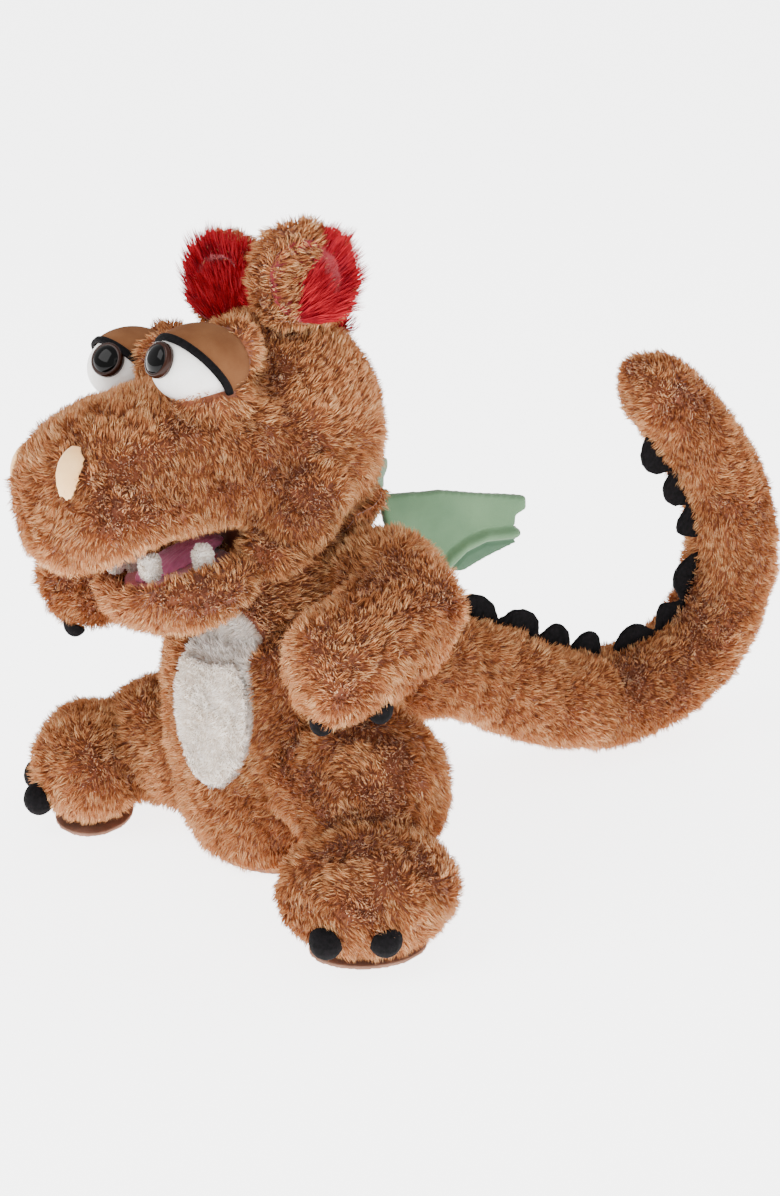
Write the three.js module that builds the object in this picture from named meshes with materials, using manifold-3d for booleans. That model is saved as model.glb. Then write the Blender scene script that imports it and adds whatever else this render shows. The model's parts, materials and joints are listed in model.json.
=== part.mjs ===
// Plush dragon hand puppet, sitting. Millimetres, +Z up. The puppet faces -Y and its left side is +X.
// The origin is the middle of the round base panel that it sits on.
import * as THREE from 'three';
import { mergeVertices } from 'three/addons/utils/BufferGeometryUtils.js';
import Module from 'manifold-3d';

const wasm = await Module();
wasm.setup();

// ---- driving dimensions ----
const GAP = 0.3;             // left between pieces that are sewn together
const WALL = 4;              // plush cloth with half its pile
const BASE_R = 46;           // round base panel
const BASE_T = 3.5;
const TORSO = [[0, 0], [50, 0], [60, 9], [70, 36], [75, 75], [75, 120], [71, 150], [65, 180], [56, 206],
  [40, 226], [0, 236]];      // radius, height
const TORSO_DEPTH = 0.93;    // front-to-back size over the width
const COLLAR_FRONT = [-70, 140];   // the collar slopes from here (y, z) ...
const COLLAR_BACK = [55, 224];     // ... up to here behind the neck
const SIDE_SEAM_Y = 12;      // seam between the front and back covers
const BELLY = { half: [27, 46], at: [8, 112], thickness: 2.4 };   // white patch, over x and z

const HEAD_AT = [0, 0, 268]; // middle of the skull, where the knuckles sit
const HEAD_TURN = -17;       // degrees about +Z at rest
const HEAD_TILT = -13;       // degrees about the nose line at rest
const SKULL = [67, 63, 70];
const NECK_R = 76.6;         // round seat for the skull
const COLLAR = { play: 1.6, thickness: 3, front: 2, low: -66, high: -38 };   // soft ring behind the skull
// Sections of the muzzle: forward, half width, top, bottom.
const MUZZLE = [[12, 54, 46, -52], [32, 67, 49, -57], [60, 71, 42, -58], [90, 69, 36, -60],
  [115, 65, 31, -64], [130, 58, 25, -66], [143, 47, 16, -62], [155, 30, 4, -51]];
const MUZZLE_TIP = [163, -18];
const FACE_SEAM_Y = -30;     // seam between the crown and the muzzle
const MOUTH_BACK = 36;       // fold at the back of the mouth, forward of the skull's middle
const ROOF = { z: -47, slope: -7, length: 98, width: 49 };      // upper mouth board
const FLOOR = { z: -58, slope: -17, length: 69, width: 46 };    // lower mouth board
const BOARD_T = 2.4;
const LINING_T = 1.6;
const ON_LINING = LINING_T + 3 * GAP - 0.1;  // what stands on a lining starts this far from its board
const HEAD_WALL = WALL + 1;
const JAW = [[44, 46, -56, -86], [60, 55, -57, -98], [78, 57, -58, -103], [94, 52, -58, -101],
  [107, 40, -61, -94]];      // forward, half width, top, bottom
const JAW_TIP = [116, -84];
const JAW_WALL = 5;
const JAW_RIM = 5;           // the jaw's lip above its board
const TONGUE = { radii: [20, 29, 8], forward: 36 };

const TOOTH_R = 5.5;
const UPPER_TOOTH = { left: [100, 26], right: [100, 26], length: 9 };   // forward, across
const LOWER_TOOTH = { left: [73, 38], right: [86, 30], length: 8 };
const EYE = { at: [47.5, -65.5, 43.5], radii: [24, 26, 21] };
const LID_T = 2.5;
const LID_PLANE = { normal: [0, 0.78, 0.62], lift: -2.5 }; // the lid is what lies behind and above it
const PUPIL = { radii: [10, 5, 10], left: [6, -24.5, 6], right: [-14, -19.5, 6] }; // from the eye's middle
const NOSTRIL = { at: [37, -135, -9], radii: [11, 16, 20] };
const EAR = { at: [46, 4, 83], radii: [31, 17, 32], hollow: [23, 13, 24], base: 58, play: 3, lining: 6 };
const EAR_HOLLOW_AHEAD = 12;
const EAR_TURN = { left: 78, right: -24 };  // how far each ear's hollow turns outwards from the front
const MANE = { width: 18, pile: 4, low: 50 };

const ARM_ROOT_X = 60;       // sewn face of an arm, across the X axis
const ARM_AXIS = [8, 186];   // y, z
const ARM_ROOT_R = 32;
const ARM_PATH = [[36, 8, 186], [72, 9, 189], [98, 5, 187], [109, -22, 178], [105, -60, 166], [96, -86, 160]];
const ARM_R = [[0, 30], [0.2, 32], [0.42, 35], [0.7, 34], [1, 31]];
const PAW_CLAWS = [[106, -72, 138], [126, -47, 143]];
const PAW_CLAW_RADII = [7, 8, 9];

const LEG_ROOT_X = 58;
const LEG_AXIS = { left: [-18, 73], right: [-20, 52] };
const LEG_ROOT_R = 54;
const THIGH = {              // the right leg lies lower than the left
  left: { at: [88, -18, 73], radii: [52, 48, 51] },
  right: { at: [84, -20, 50], radii: [46, 43, 42] },
};
const FOOT = { reach: { left: 62, right: 52 }, out: [78, -22], z: 37.5 };
const FOOT_RADII = { left: [41, 54, 38], right: [38, 48, 37.5] };   // along the toes, across them, up
const SPLAY = { left: 53, right: 47 };   // degrees out from straight ahead
const SOLE = { half: [25, 34], thickness: 2.5 };
const TOE_CLAWS = [[30, -28, 24], [35, 4, 25]];  // ahead of the foot's middle, across it, height
const TOE_CLAW_RADII = [10, 10, 11];

const WING_ROOT = [[24, 62, 216], [26, 70, 174]]; // top and bottom of the sewn edge
const WING_TIP = [58, 150, 198];                 // the wing lies in the plane through these three
const WING_EDGE = [[38, 9.5], [70, 23], [94, 33], [93, 40], [85, 42], [83, 60], [44, 66], [18, 54]];
                             // along from the top of the sewn edge, down from it
const WING_T = 5;

const TAIL_TURN = 18;        // degrees from +Y towards +X
const TAIL_AT = [5, 72];
const TAIL_PATH = [[0, 92], [40, 90], [74, 80], [124, 53], [178, 36.5], [226, 43], [262, 66], [281, 108],
  [280, 152], [261, 193], [230, 231], [186, 272]];              // along, up
const TAIL_R = [[0, 35], [0.2, 35], [0.4, 34], [0.6, 33], [0.8, 28.5], [1, 25]];
const TAIL_JOINTS = [0, 0.36, 0.68];   // where the tail bends, along its length
const SOCKET = 1.6;          // play round a ball end
const CREST = { height: 13, valley: 4, thickness: 4, lift: 1.3 };
const CREST_SPAN = [[0.09, 0.346, 4], [0.374, 0.666, 3], [0.694, 0.9, 3]];   // from, to, bumps

const SLEEVE_PATH = [[0, 80, 157], [0, 40, 161], [0, 12, 172], [0, 0, 194]];
const SLEEVE = { half: [40, 25], wall: 1.5 };
const HEM = { thickness: 6, depth: 3.5 };
const HAND_PATH = [[0, 14, -84], [0, 4, -48], [0, -24, -26], [0, -70, -26], [0, -122, -34]];
const HAND = [[0, 38, 25], [0.35, 39, 22], [0.7, 37, 17], [1, 24, 12]];

// ---- solids ----
const RAD = Math.PI / 180;
const vec = (a) => new THREE.Vector3(...a);

function solid(geometry) {
  for (const name of ['normal', 'uv']) geometry.deleteAttribute(name);
  const merged = mergeVertices(geometry, 1e-4);
  const vertProperties = new Float32Array(merged.attributes.position.array);
  const triVerts = new Uint32Array(merged.index.array);
  return new wasm.Manifold(new wasm.Mesh({ numProp: 3, vertProperties, triVerts }));
}

const plus = (first, ...rest) => rest.reduce((sum, next) => sum.add(next), first);
const minus = (first, ...rest) => rest.reduce((left, next) => left.subtract(next), first);
const meet = (first, ...rest) => rest.reduce((left, next) => left.intersect(next), first);
const largest = (made) => made.decompose().reduce((a, b) => (a.volume() > b.volume() ? a : b));

function ellipsoid(at, radii, across = 20, down = 12, turn = 0) {
  const shape = new THREE.SphereGeometry(1, across, down);
  shape.rotateX(Math.PI / 2);
  return solid(shape.scale(...radii).rotateZ(turn * RAD).translate(...at));
}

// A box between two corners.
function block(low, high) {
  const size = low.map((value, i) => high[i] - value);
  const shape = new THREE.BoxGeometry(...size);
  return solid(shape.translate(...low.map((value, i) => value + size[i] / 2)));
}

// A big box whose top face passes through two (y, z) points.
function below([y0, z0], [y1, z1]) {
  const shape = new THREE.BoxGeometry(600, 900, 400).translate(0, 0, -200);
  return solid(shape.rotateX(Math.atan2(z1 - z0, y1 - y0)).translate(0, (y0 + y1) / 2, (z0 + z1) / 2));
}

function discX(x0, x1, [y, z], radius, sides = 18) {
  const shape = new THREE.CylinderGeometry(radius, radius, Math.abs(x1 - x0), sides);
  return solid(shape.rotateZ(Math.PI / 2).translate((x0 + x1) / 2, y, z));
}

// Closed skin over rings of points, with a point at each end.
function skinOver(start, rings, end) {
  const count = rings[0].length;
  const points = [start, ...rings.flat(), end];
  const last = points.length - 1;
  const index = [];
  for (let i = 0; i < count; i++) {
    const j = (i + 1) % count;
    index.push(0, 1 + j, 1 + i, last, last - count + i, last - count + j);
    for (let r = 0; r < rings.length - 1; r++) {
      const a = 1 + r * count;
      const b = a + count;
      index.push(a + i, a + j, b + i, a + j, b + j, b + i);
    }
  }
  const shape = new THREE.BufferGeometry();
  shape.setAttribute('position', new THREE.Float32BufferAttribute(points.flatMap((p) => p.toArray()), 3));
  shape.setIndex(index);
  const made = solid(shape);
  return made.volume() > 0 ? made : solid(flipped(shape));
}

function flipped(shape) {
  const index = shape.index.array;
  for (let i = 0; i < index.length; i += 3) [index[i], index[i + 1]] = [index[i + 1], index[i]];
  return shape;
}

// Linear reading of a list of [t, value, ...] rows.
function stop(rows, t, column = 1) {
  const next = Math.max(1, rows.findIndex((row) => row[0] >= t));
  const [a, b] = [rows[next - 1], rows[next]];
  return THREE.MathUtils.mapLinear(t, a[0], b[0], a[column], b[column]);
}

// A round-ended limb along a path. size(t) gives the half width along `side` and the half depth.
function limb(path, side, size, steps, sides, blunt = 0.12) {
  const spine = new THREE.CatmullRomCurve3(path.map(vec), false, 'centripetal');
  const rings = [];
  for (let k = 1; k < steps; k++) {
    const t = (1 - Math.cos(Math.PI * k / steps)) / 2;
    const end = Math.min(1, Math.min(t, 1 - t) / blunt);
    const round = Math.sqrt(1 - (1 - end) ** 2);
    const along = spine.getTangentAt(t);
    const u = vec(side).addScaledVector(along, -vec(side).dot(along)).normalize();
    const v = new THREE.Vector3().crossVectors(along, u);
    const [half, depth] = size(t);
    rings.push(Array.from({ length: sides }, (_, i) => spine.getPointAt(t)
      .addScaledVector(u, Math.cos(2 * Math.PI * i / sides) * half * round)
      .addScaledVector(v, Math.sin(2 * Math.PI * i / sides) * depth * round)));
  }
  return skinOver(spine.getPointAt(0), rings, spine.getPointAt(1));
}

// A blunt form along -Y from rows of forward, half width, top and bottom.
function snout(rows, [tipForward, tipZ], grow, sides = 18) {
  const point = (forward, half, top, bottom, angle) => {
    const [c, s] = [Math.cos(angle), Math.sin(angle)];
    const square = (value) => Math.sign(value) * Math.abs(value) ** 0.86;
    return new THREE.Vector3((half + grow) * square(c), -forward, (top + bottom) / 2
      + ((top - bottom) / 2 + grow) * square(s));
  };
  const rings = rows.map(([forward, half, top, bottom], k) => {
    const y = k ? forward + grow * k / rows.length : forward - grow;
    return Array.from({ length: sides }, (_, i) => point(y, half, top, bottom, 2 * Math.PI * i / sides));
  });
  const first = rows[0];
  return skinOver(new THREE.Vector3(0, -first[0] + grow, (first[2] + first[3]) / 2), rings,
    new THREE.Vector3(0, -tipForward - grow, tipZ));
}

// A flat plate in the X-Y plane with a round front, cut square at the back.
function tonguePlate(length, half, thickness, front = 0.55) {
  const shape = new THREE.Shape();
  const straight = length * (1 - front);
  shape.moveTo(half * 0.86, 0);
  shape.lineTo(half, -straight);
  for (let k = 1; k < 10; k++) {
    const angle = Math.PI * k / 10;
    shape.lineTo(half * Math.cos(angle), -straight - length * front * Math.sin(angle));
  }
  shape.lineTo(-half, -straight);
  shape.lineTo(-half * 0.86, 0);
  return solid(new THREE.ExtrudeGeometry(shape, { depth: thickness, bevelEnabled: false }));
}

// ---- forms, each of which can be grown or shrunk by a distance ----
function torsoForm(grow = 0) {
  const rows = TORSO.map(([r, z], i) => new THREE.Vector2(r ? r + grow : 0, i < 2 ? z - grow : z + grow));
  return solid(new THREE.LatheGeometry(rows, 20).rotateX(Math.PI / 2).scale(1, TORSO_DEPTH, 1));
}

const headForm = (grow = 0) => plus(ellipsoid([0, 0, 0], SKULL.map((r) => r + grow), 18, 11),
  snout(MUZZLE, MUZZLE_TIP, grow));
const jawForm = (grow = 0) => snout(JAW, JAW_TIP, grow, 16);
const armForm = (grow = 0) => limb(ARM_PATH, [0, 0, 1], (t) => Array(2).fill(stop(ARM_R, t) + grow), 11, 12);

function footFrame(side) {
  const splay = SPLAY[side] * RAD;
  const [x, y] = FOOT.out;
  const reach = FOOT.reach[side];
  const turned = new THREE.Matrix4().makeRotationZ(splay - Math.PI / 2);
  return turned.setPosition(x + reach * Math.sin(splay), y - reach * Math.cos(splay), FOOT.z);
}

function legForm(side, grow = 0) {
  const foot = new THREE.SphereGeometry(1, 14, 8).rotateX(Math.PI / 2);
  foot.scale(...FOOT_RADII[side].map((r) => r + grow)).applyMatrix4(footFrame(side));
  return plus(ellipsoid(THIGH[side].at, THIGH[side].radii.map((r) => r + grow), 14, 8), solid(foot));
}

const tailSpine = new THREE.CatmullRomCurve3(TAIL_PATH.map(([along, up]) => new THREE.Vector3(0, along, up)),
  false, 'centripetal');

function tailTube(t0, t1, grow, roundTip) {
  const rings = [];
  const steps = Math.ceil((t1 - t0) * 18);
  for (let k = 0; k <= steps; k++) {
    const t = t0 + (t1 - t0) * k / steps;
    const toEnd = Math.min(1, (1 - t) / 0.06);
    const round = roundTip ? Math.sqrt(Math.max(0.02, 1 - (1 - toEnd) ** 2)) : 1;
    rings.push(tailRing(t, (stop(TAIL_R, t) + grow) * round, 12));
  }
  const end = tailSpine.getPointAt(t1).addScaledVector(tailSpine.getTangentAt(t1), roundTip ? 1.5 + grow : 0);
  return skinOver(tailSpine.getPointAt(t0), rings, end);
}

function tailRing(t, radius, sides) {
  const along = tailSpine.getTangentAt(t);
  const up = new THREE.Vector3(0, -along.z, along.y);
  return Array.from({ length: sides }, (_, i) => tailSpine.getPointAt(t)
    .add(new THREE.Vector3(Math.cos(2 * Math.PI * i / sides) * radius, 0, 0))
    .addScaledVector(up, Math.sin(2 * Math.PI * i / sides) * radius));
}

const ball = (at, radius) => ellipsoid(at, [radius, radius, radius], 20, 12);

// ---- the model ----
const group = new THREE.Group();
const head = new THREE.Group();
head.position.set(...HEAD_AT);
head.rotation.set(0, HEAD_TILT * RAD, HEAD_TURN * RAD, 'ZYX');
const tail = new THREE.Group();
tail.position.set(...TAIL_AT, 0);
tail.rotation.z = -TAIL_TURN * RAD;
group.add(head, tail);

const COLOURS = {
  plush: [0x8a5230, 0.95],
  white_plush: [0xe9e1d6, 0.92],
  red_plush: [0x98111e, 0.9],
  black_felt: [0x0b0a0c, 0.95],
  velour: [0x7c9069, 0.85],
  mouth_cloth: [0x570810, 0.85],
  tongue_cord: [0x93506a, 0.85],
  suede: [0x94694b, 0.88],
  cream_velour: [0xf0cfa4, 0.85],
  eye_plastic: [0x0d0705, 0.12],
  lining: [0x4a2c1c, 0.8],
  fibre: [0xe8e6e0, 0.95],
  board: [0xb59a72, 0.7],
};

function addPiece(name, made, colour, parent = group, flip = false) {
  const { vertProperties, triVerts, numProp } = largest(made).getMesh();
  const shape = new THREE.BufferGeometry();
  const places = new Float32Array(vertProperties.length / numProp * 3);
  for (let i = 0; i < places.length; i++) places[i] = vertProperties[Math.floor(i / 3) * numProp + i % 3];
  shape.setAttribute('position', new THREE.BufferAttribute(places, 3));
  shape.setIndex(Array.from(triVerts));
  if (flip) flipped(shape.scale(-1, 1, 1));
  shape.computeVertexNormals();
  const [color, roughness] = COLOURS[colour];
  const mesh = new THREE.Mesh(shape, new THREE.MeshStandardMaterial({ color, roughness, metalness: 0 }));
  mesh.name = name;
  parent.add(mesh);
}

// Both copies of a piece that the puppet has on its left (+X) and right.
function addPair(name, make, colour, parent = group) {
  for (const side of ['left', 'right']) {
    addPiece(`${name}_${side}`, make(side), colour, parent, side === 'right');
  }
}

const collar = minus(block([-200, -200, 0], [200, 200, 400]), below(COLLAR_FRONT, COLLAR_BACK));
const neckSeat = ball(HEAD_AT, NECK_R);
const limbSockets = ['left', 'right'].flatMap((side) => {
  const far = side === 'left' ? 1 : -1;
  return [discX(far * ARM_ROOT_X, far * 200, ARM_AXIS, ARM_ROOT_R + 2),
    discX(far * LEG_ROOT_X, far * 200, LEG_AXIS[side], LEG_ROOT_R)];
});
const sleeve = (grow) => limb(SLEEVE_PATH, [1, 0, 0], () => SLEEVE.half.map((r) => r + grow), 8, 16, 0.02);
const tailSocket = ellipsoid([...TAIL_AT, TAIL_PATH[0][1]], Array(3).fill(TAIL_R[0][1] + SOCKET), 14, 9);
const torsoCuts = [collar, neckSeat, ...limbSockets, tailSocket];

function addTorso() {
  const base = solid(new THREE.CylinderGeometry(BASE_R, BASE_R, BASE_T, 24).rotateX(Math.PI / 2)
    .translate(0, 0, BASE_T / 2));
  const baseHole = solid(new THREE.CylinderGeometry(BASE_R + GAP, BASE_R + GAP, 20, 24).rotateX(Math.PI / 2));
  const shell = minus(torsoForm(), torsoForm(-WALL), baseHole, ...torsoCuts, sleeve(SLEEVE.wall + GAP));
  addPiece('torso_front_cover', meet(shell, block([-200, -200, -5], [200, SIDE_SEAM_Y, 400])), 'plush');
  addPiece('torso_back_cover', meet(shell, block([-200, SIDE_SEAM_Y + GAP, -5], [200, 200, 400])), 'plush');
  addPiece('torso_base_panel', base, 'plush');
  const filling = minus(torsoForm(-WALL - GAP), ...torsoCuts, sleeve(SLEEVE.wall + GAP));
  addPiece('torso_stuffing', filling, 'fibre');
  const [half, high] = BELLY.half;
  const edge = new THREE.CylinderGeometry(1, 1, 200, 28).scale(half, 1, high);
  const patch = minus(torsoForm(BELLY.thickness), torsoForm(GAP), collar);
  addPiece('belly_patch', meet(patch, solid(edge.translate(BELLY.at[0], -100, BELLY.at[1]))), 'white_plush');
}

function addSleeve() {
  const outer = torsoForm(-GAP);
  const tube = minus(sleeve(SLEEVE.wall), sleeve(0));
  addPiece('hand_sleeve', minus(meet(tube, outer), neckSeat, collar), 'lining');
  const band = minus(sleeve(HEM.thickness), sleeve(0), torsoForm(GAP));
  addPiece('sleeve_hem', meet(band, torsoForm(HEM.depth), block([-90, 0, 0], [90, 200, 300])), 'lining');
}

function addNeck() {
  const outer = NECK_R - COLLAR.play;
  const band = minus(ball(HEAD_AT, outer), ball(HEAD_AT, outer - COLLAR.thickness));
  const zone = block([-90, COLLAR.front, HEAD_AT[2] + COLLAR.low], [90, 90, HEAD_AT[2] + COLLAR.high]);
  addPiece('neck_collar', meet(band, zone), 'plush');
}

const mouthTilt = (board, thickness) => (made) => made
  .rotate([-board.slope, 0, 0]).translate([0, -MOUTH_BACK, board.z - thickness]);
const place = {
  roof: mouthTilt(ROOF, 0), roofLining: mouthTilt(ROOF, LINING_T + GAP),
  floor: mouthTilt(FLOOR, BOARD_T), floorLining: mouthTilt(FLOOR, -GAP),
};
const roofAt = (forward) => ROOF.z + (forward - MOUTH_BACK) * Math.tan(ROOF.slope * RAD);
const floorAt = (forward) => FLOOR.z + (forward - MOUTH_BACK) * Math.tan(FLOOR.slope * RAD);
const handSize = (grow) => (t) => [stop(HAND, t) + grow, stop(HAND, t, 2) + grow];
const handSpace = (grow) => limb(HAND_PATH, [1, 0, 0], handSize(grow), 10, 14, 0.02);

// Everything below the plane of a mouth board, raised by a distance.
const belowBoard = (heightAt, rise = 0) => below([-250, heightAt(250) + rise],
  [-MOUTH_BACK, heightAt(MOUTH_BACK) + rise]);

function addHead() {
  const aheadOf = (y) => block([-200, -300, -200], [200, y, 200]);
  const behind = (y) => block([-200, y, -200], [200, 200, 200]);
  const foldRoom = 6;
  const mouthCut = meet(aheadOf(-MOUTH_BACK + 4), belowBoard(roofAt, -foldRoom));
  const boardRoom = tonguePlate(ROOF.length + 2 * GAP, ROOF.width + 2 * GAP, 30);
  const roofRoom = place.roof(boardRoom).translate([0, 0, -18]);
  const shell = minus(headForm(), headForm(-HEAD_WALL), mouthCut, handSpace(GAP));
  addPiece('crown_cover', meet(shell, behind(FACE_SEAM_Y)), 'plush', head);
  addPiece('muzzle_cover', meet(minus(shell, roofRoom), aheadOf(FACE_SEAM_Y - GAP)), 'plush', head);
  const inside = headForm(-HEAD_WALL - GAP);
  const upperBoard = belowBoard(roofAt, BOARD_T + 2 * GAP + 0.1);
  const front = minus(meet(inside, aheadOf(-MOUTH_BACK + foldRoom)), upperBoard);
  const rear = meet(inside, behind(-MOUTH_BACK + 5));
  addPiece('head_stuffing', minus(plus(front, rear), handSpace(0)), 'fibre', head);
  const roof = (thickness) => tonguePlate(ROOF.length, ROOF.width, thickness);
  const room = headForm(-HEAD_WALL - 1);
  addPiece('upper_mouth_board', meet(place.roof(roof(BOARD_T)), room), 'board', head);
  addPiece('upper_mouth_lining', meet(place.roofLining(roof(LINING_T)), room), 'mouth_cloth', head);
}

function addJaw() {
  const thumb = minus(jawForm(-JAW_WALL), block([-200, -44, -200], [200, 0, 0]));
  const well = meet(jawForm(-JAW_WALL), belowBoard(floorAt));
  const boardRoom = place.floor(tonguePlate(FLOOR.length + 2 * GAP, FLOOR.width + 2 * GAP, 30));
  const cover = minus(meet(jawForm(), belowBoard(floorAt, JAW_RIM)), plus(well, thumb), boardRoom);
  addPiece('jaw_cover', cover, 'plush', head);
  const floor = (thickness) => tonguePlate(FLOOR.length, FLOOR.width, thickness);
  const room = jawForm(-JAW_WALL - 1);
  addPiece('lower_mouth_board', meet(place.floor(floor(BOARD_T)), room), 'board', head);
  addPiece('lower_mouth_lining', meet(place.floorLining(floor(LINING_T)), room), 'mouth_cloth', head);
  const pad = new THREE.SphereGeometry(1, 14, 10).rotateX(Math.PI / 2).scale(...TONGUE.radii);
  const tongue = place.floorLining(solid(pad.translate(0, -TONGUE.forward, LINING_T + 2 * GAP)));
  addPiece('tongue', minus(tongue, belowBoard(floorAt, ON_LINING)), 'tongue_cord', head);
}

// A capsule that stands on the lower lining, or hangs from the upper one, and is cut along it.
function tooth([forward, across], length, isLower) {
  const slope = Math.tan((isLower ? FLOOR : ROOF).slope * RAD);
  const clear = ON_LINING + 0.2;
  const z = isLower ? floorAt(forward) + clear : roofAt(forward) - clear;
  const shape = new THREE.CapsuleGeometry(TOOTH_R, length, 3, 10).rotateX(Math.PI / 2);
  const gum = below([-forward - 100, z + 100 * slope], [-forward, z]);
  const made = solid(shape.translate(across, -forward, z + (isLower ? 0.4 : -0.4) * length));
  return isLower ? minus(made, gum) : meet(made, gum);
}

function addFace() {
  addPair('upper_tooth', (side) => tooth(UPPER_TOOTH[side], UPPER_TOOTH.length, false), 'white_plush', head);
  addPair('lower_tooth', (side) => tooth(LOWER_TOOTH[side], LOWER_TOOTH.length, true), 'white_plush', head);
  const nostril = () => minus(ellipsoid(NOSTRIL.at, NOSTRIL.radii, 16, 10), headForm(GAP));
  addPair('nostril', nostril, 'cream_velour', head);
}

function addEyes() {
  const pupil = (side, grow = 0) => {
    const axis = vec(PUPIL[side]).divide(vec(EYE.radii)).divide(vec(EYE.radii)).normalize();
    const turn = new THREE.Quaternion().setFromUnitVectors(new THREE.Vector3(0, -1, 0), axis);
    const dome = new THREE.SphereGeometry(1, 12, 6).scale(...PUPIL.radii.map((r) => r + grow));
    return solid(dome.applyQuaternion(turn).translate(...vec(PUPIL[side]).add(vec(EYE.at))));
  };
  const eye = (grow) => ellipsoid(EYE.at, EYE.radii.map((r) => r + grow), 14, 8);
  const normal = vec(LID_PLANE.normal).normalize();
  const before = new THREE.BoxGeometry(200, 200, 200).translate(0, 0, -100);
  before.applyQuaternion(new THREE.Quaternion().setFromUnitVectors(new THREE.Vector3(0, 0, 1), normal));
  const open = solid(before.translate(...vec(EYE.at).addScaledVector(normal, LID_PLANE.lift)));
  addPair('eye_white', (side) => minus(eye(0), headForm(GAP), pupil(side, GAP)), 'white_plush', head);
  addPair('pupil', (side) => minus(pupil(side), headForm(GAP)), 'eye_plastic', head);
  const lid = (side) => minus(eye(LID_T), eye(GAP), headForm(GAP), pupil(side, GAP), open);
  addPair('eyelid', lid, 'suede', head);
}

function addEars() {
  const above = block([-200, -200, EAR.base], [200, 200, 300]);
  const shape = (side, grow) => ellipsoid(EAR.at, EAR.radii.map((r) => r + grow), 14, 9, EAR_TURN[side]);
  const scoop = (side, ahead, grow = 0) => {
    const way = vec([0, -ahead, -2]).applyAxisAngle(new THREE.Vector3(0, 0, 1), EAR_TURN[side] * RAD);
    return ellipsoid(way.add(vec(EAR.at)).toArray(), EAR.hollow.map((r) => r + grow), 12, 8, EAR_TURN[side]);
  };
  const back = (side) => {
    const grown = meet(shape(side, 0), above);
    return minus(grown, scoop(side, EAR_HOLLOW_AHEAD), headForm(EAR.play));
  };
  const lining = (side) => minus(meet(scoop(side, EAR_HOLLOW_AHEAD, -GAP), shape(side, -1), above),
    scoop(side, EAR_HOLLOW_AHEAD + EAR.lining), headForm(EAR.play));
  addPair('ear_back', back, 'plush', head);
  addPair('ear_lining', lining, 'red_plush', head);
  const strip = block([-MANE.width / 2, -4, MANE.low], [MANE.width / 2, 120, 120]);
  addPiece('mane', meet(minus(headForm(MANE.pile), headForm(GAP)), strip), 'red_plush', head);
}

function addArms() {
  const outside = block([ARM_ROOT_X + 2 * GAP, -300, 0], [300, 300, 400]);
  addPair('arm_cover', () => minus(meet(armForm(), outside), armForm(-WALL)), 'plush');
  addPair('arm_stuffing', () => meet(armForm(-WALL - GAP), outside), 'fibre');
  const claw = (at) => () => minus(ellipsoid(at, PAW_CLAW_RADII, 12, 8), armForm(GAP));
  PAW_CLAWS.forEach((at, i) => addPair(`paw_claw_${i + 1}`, claw(at), 'black_felt'));
}

function addLegs() {
  const outside = (z) => block([LEG_ROOT_X + 2 * GAP, -200, z], [300, 200, 400]);
  const cover = (side) => minus(meet(legForm(side), outside(SOLE.thickness + GAP)), legForm(side, -WALL));
  addPair('leg_cover', cover, 'plush');
  const filling = (side) => meet(legForm(side, -WALL - GAP), outside(SOLE.thickness + 2));
  addPair('leg_stuffing', filling, 'fibre');
  addPair('sole', (side) => {
    const print = new THREE.CylinderGeometry(1, 1, SOLE.thickness, 28).rotateX(Math.PI / 2);
    print.scale(...SOLE.half, 1).applyMatrix4(footFrame(side));
    return solid(print.translate(0, 0, SOLE.thickness / 2 - FOOT.z));
  }, 'suede');
  TOE_CLAWS.forEach(([ahead, across, z], i) => addPair(`toe_claw_${i + 1}`, (side) => {
    const at = vec([ahead, across, z - FOOT.z]).applyMatrix4(footFrame(side));
    return minus(ellipsoid(at.toArray(), TOE_CLAW_RADII, 12, 8), legForm(side, GAP));
  }, 'black_felt'));
}

// The wing lies in a plane through its sewn edge and its tip.
function addWings() {
  const [top, bottom] = WING_ROOT.map(vec);
  const tip = vec(WING_TIP);
  const down = bottom.clone().sub(top).normalize();
  const out = tip.clone().sub(top).addScaledVector(down, -tip.clone().sub(top).dot(down)).normalize();
  const outline = [[0, 0], ...WING_EDGE, [0, bottom.distanceTo(top)]];
  const shape = new THREE.Shape(outline.map(([x, y]) => new THREE.Vector2(x, y)));
  const plate = new THREE.ExtrudeGeometry(shape, { depth: WING_T, bevelEnabled: false });
  const normal = new THREE.Vector3().crossVectors(out, down);
  const frame = new THREE.Matrix4().makeBasis(out, down, normal).setPosition(top);
  plate.translate(0, 0, -WING_T / 2).applyMatrix4(frame);
  const made = minus(solid(plate), torsoForm(3));
  addPair('wing', () => made, 'velour');
}

function addTail() {
  const knuckle = (t, play) => {
    const radius = stop(TAIL_R, t) + play;
    return ellipsoid(tailSpine.getPointAt(t).toArray(), [radius, radius, radius], 14, 9);
  };
  ['base', 'middle', 'tip'].forEach((name, i) => {
    const isTip = i === 2;
    const [from, to] = [TAIL_JOINTS[i], isTip ? 1 : TAIL_JOINTS[i + 1]];
    const whole = plus(tailTube(from, to, 0, isTip), knuckle(from, -0.2));
    addPiece(`tail_${name}`, isTip ? whole : minus(whole, knuckle(to, SOCKET)), 'plush', tail);
    addPiece(`crest_${name}`, crest(...CREST_SPAN[i]), 'black_felt', tail);
  });
}

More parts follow.
